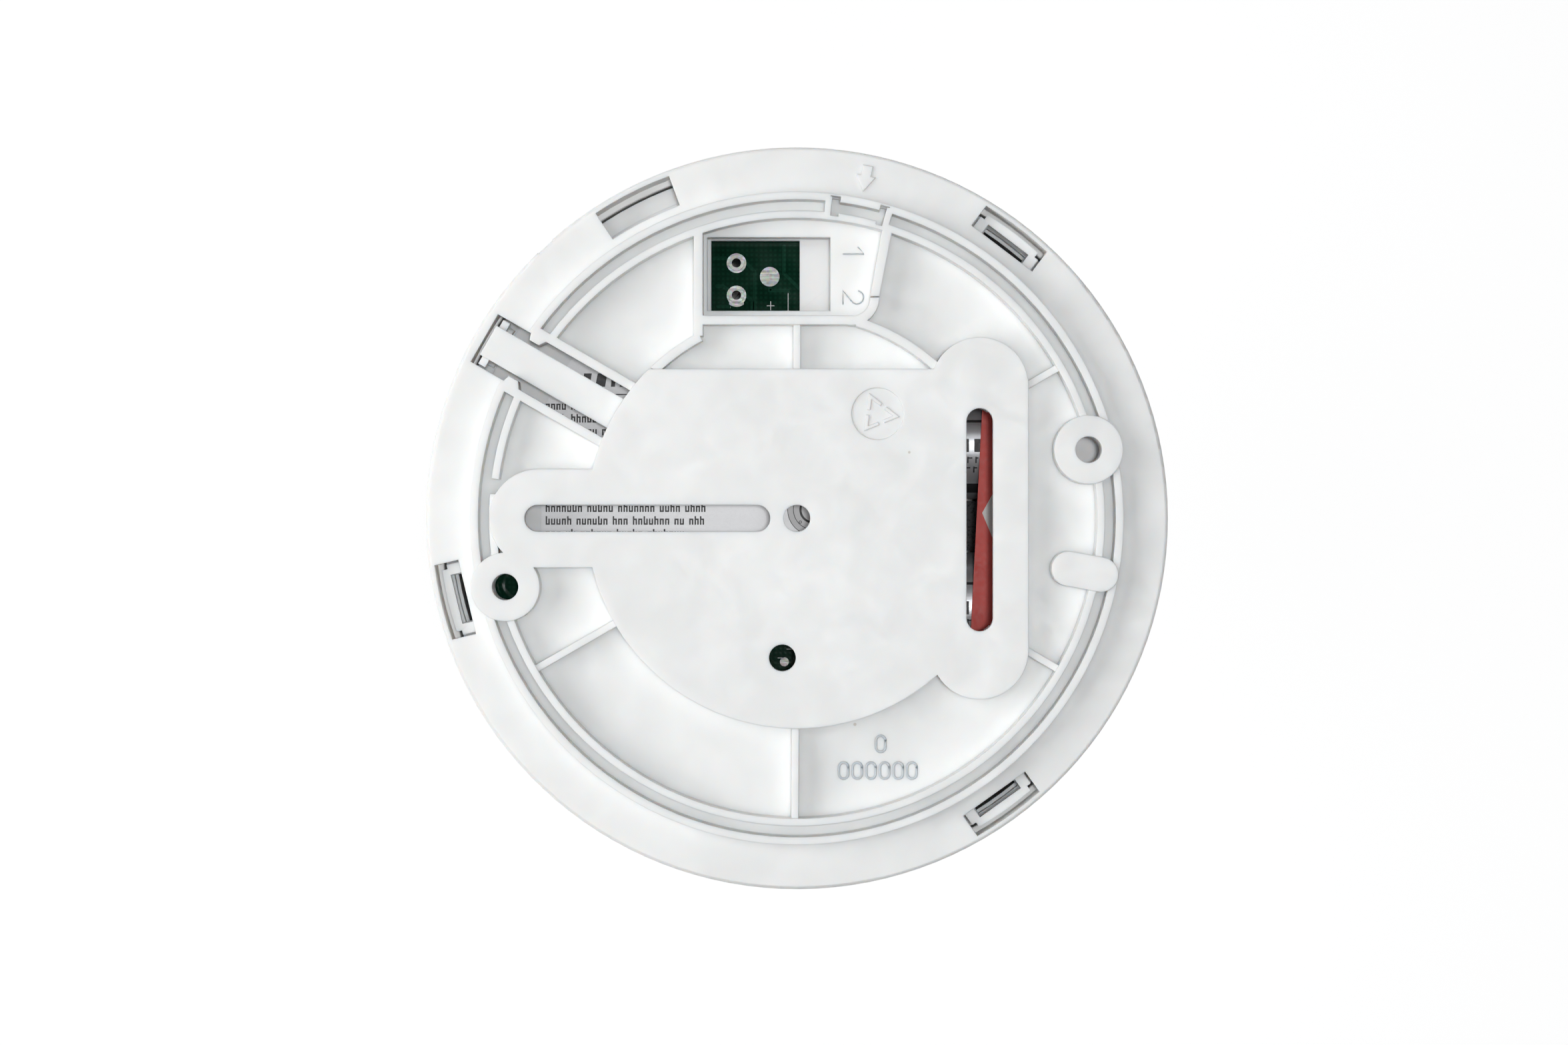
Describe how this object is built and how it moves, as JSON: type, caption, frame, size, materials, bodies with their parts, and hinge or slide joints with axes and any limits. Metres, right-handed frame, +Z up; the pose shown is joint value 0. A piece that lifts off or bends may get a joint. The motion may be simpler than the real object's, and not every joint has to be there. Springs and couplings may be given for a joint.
{
  "type": "smoke detector",
  "caption": "Round white ceiling smoke detector with twist-on mounting plate, latch arm, test button, smoke chamber, sounder and lithium cells.",
  "frame": {"origin": "centre of the ceiling plane, at the top of the mounting plate's platform", "axes": "+Z points up into the ceiling, +Y towards the terminal window, +X towards the short screw slot; the detector hangs below"},
  "size_m": [0.115, 0.115, 0.0465],
  "materials": {
    "plate_plastic": "satin",
    "case_plastic": "satin",
    "cover_plastic": "satin",
    "button_plastic": "satin",
    "label_paper": "matt paper with grey print",
    "red_film": "printed film",
    "blue_film": "printed film",
    "board_green": "solder mask",
    "black_plastic": "moulded",
    "black_foam": "foam",
    "tinned_metal": "tinned",
    "cell_sleeve": "printed silver sleeve",
    "spring_steel": "drawn wire",
    "brass_sheet": "rolled",
    "copper_wire": "enamelled",
    "ceramic": "fired and silvered",
    "dark_gauze": "woven",
    "lamp_resin": "tinted resin",
    "dark_resin": "tinted resin",
    "clear_acrylic": "clear",
    "capacitor_sleeve": "shrink sleeve",
    "switch_red": "moulded"
  },
  "bodies": {
    "base_plate": {"mounting_plate": "plate_plastic"},
    "latch": {"latch_arm": "plate_plastic"},
    "detector_head": {"rear_case": "case_plastic", "rating_label": "label_paper", "main_pcb": "board_green", "terminal_eyelets": "tinned_metal", "test_pads": "tinned_metal", "cell_positive_up": "cell_sleeve", "cell_positive_down": "cell_sleeve", "cell_link": "tinned_metal", "cell_output_tabs": "tinned_metal", "cell_strap": "red_film", "cell_foam_pad": "black_foam", "chamber_base": "black_plastic", "chamber_cap": "black_plastic", "chamber_gauze": "dark_gauze", "infrared_emitter": "lamp_resin", "light_receiver": "dark_resin", "receiver_shield": "tinned_metal", "sounder_horn": "case_plastic", "sounder_plate": "brass_sheet", "sounder_ceramic": "ceramic", "sounder_springs": "spring_steel", "switch_body": "black_plastic", "button_spring": "spring_steel", "indicator_led": "ceramic", "light_pipe": "clear_acrylic", "front_cover": "cover_plastic", "front_cap": "cover_plastic", "inlet_screen": "dark_gauze", "pcb_screws": "tinned_metal", "controller_chip": "black_plastic", "reservoir_capacitor": "capacitor_sleeve", "driver_coil": "copper_wire", "small_components": "black_plastic", "side_label": "blue_film"},
    "button": {"test_button": "button_plastic"},
    "plunger": {"switch_plunger": "switch_red"}
  },
  "joints": [
    {"name": "head_twist", "type": "hinge", "parent": "base_plate", "child": "detector_head", "pos_m": [0, 0, -0.0104], "axis": [0, 0, -1], "range_deg": [0, 15]},
    {"name": "latch_flex", "type": "hinge", "parent": "base_plate", "child": "latch", "pos_m": [-0.02555, 0.01475, -0.00305], "axis": [0.5, 0.866, 0], "range_deg": [0, 4], "stiffness_Nm_per_rad": 2},
    {"name": "button_press", "type": "slide", "parent": "detector_head", "child": "button", "axis": [0, 0, 1], "range_m": [0, 0.0008], "stiffness_N_per_m": 400, "springref_m": -0.002, "deforming": ["button_spring"]},
    {"name": "plunger_travel", "type": "slide", "parent": "detector_head", "child": "plunger", "axis": [0, 0, 1], "range_m": [0, 0.0003]}
  ],
  "couplings": [
    {"joint": "plunger_travel", "follows": "button_press", "ratio": 0.35}
  ]
}
